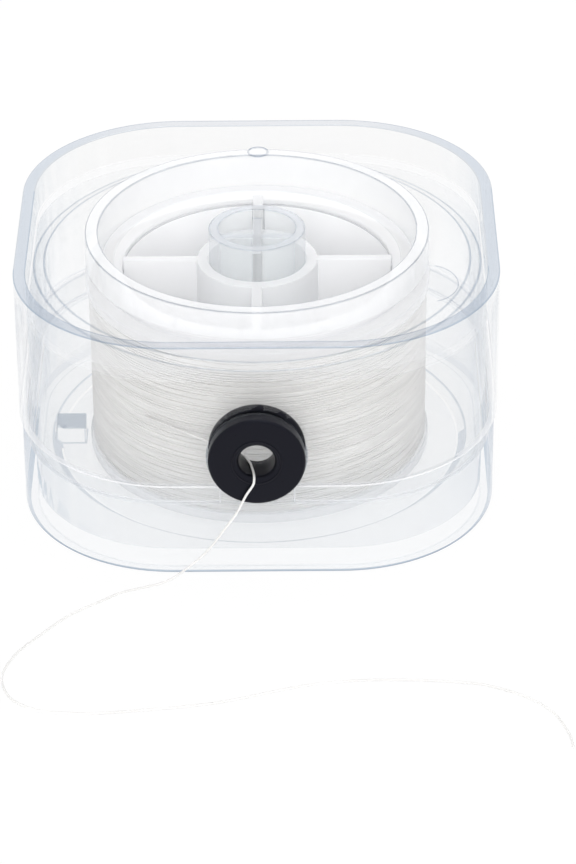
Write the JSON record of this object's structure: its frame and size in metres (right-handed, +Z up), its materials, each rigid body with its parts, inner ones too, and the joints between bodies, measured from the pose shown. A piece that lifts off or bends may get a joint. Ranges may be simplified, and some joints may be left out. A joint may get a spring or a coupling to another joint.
{
  "type": "bobbin box",
  "caption": "Clear square case with round corners that holds one bobbin of thread on a spindle; the cover lifts off and the thread leaves through a rubber grommet.",
  "frame": {"origin": "centre of the case's footprint, on the face that it stands on", "axes": "+Z up along the bobbin's axis, -Y towards the front wall with the grommet, +X to the right seen from the front"},
  "size_m": [0.078, 0.1124, 0.0377],
  "materials": {
    "case_clear": "clear polystyrene, polished",
    "bobbin_clear": "clear polystyrene, polished",
    "grommet_rubber": "satin moulded rubber",
    "thread_ivory": "twisted polyester thread"
  },
  "bodies": {
    "base": {"base_shell": "case_clear", "grommet": "grommet_rubber", "thread_lead": "thread_ivory", "thread_tail": "thread_ivory"},
    "cover": {"cover_shell": "case_clear"},
    "bobbin": {"bobbin_body": "bobbin_clear", "bobbin_flange": "bobbin_clear", "thread_winding": "thread_ivory"}
  },
  "joints": [
    {"name": "cover_lift", "type": "slide", "parent": "base", "child": "cover", "axis": [0, 0, 1], "range_m": [0, 0.045]},
    {"name": "bobbin_spin", "type": "hinge", "parent": "base", "child": "bobbin", "pos_m": [0, 0, 0], "axis": [0, 0, 1], "continuous": true}
  ]
}
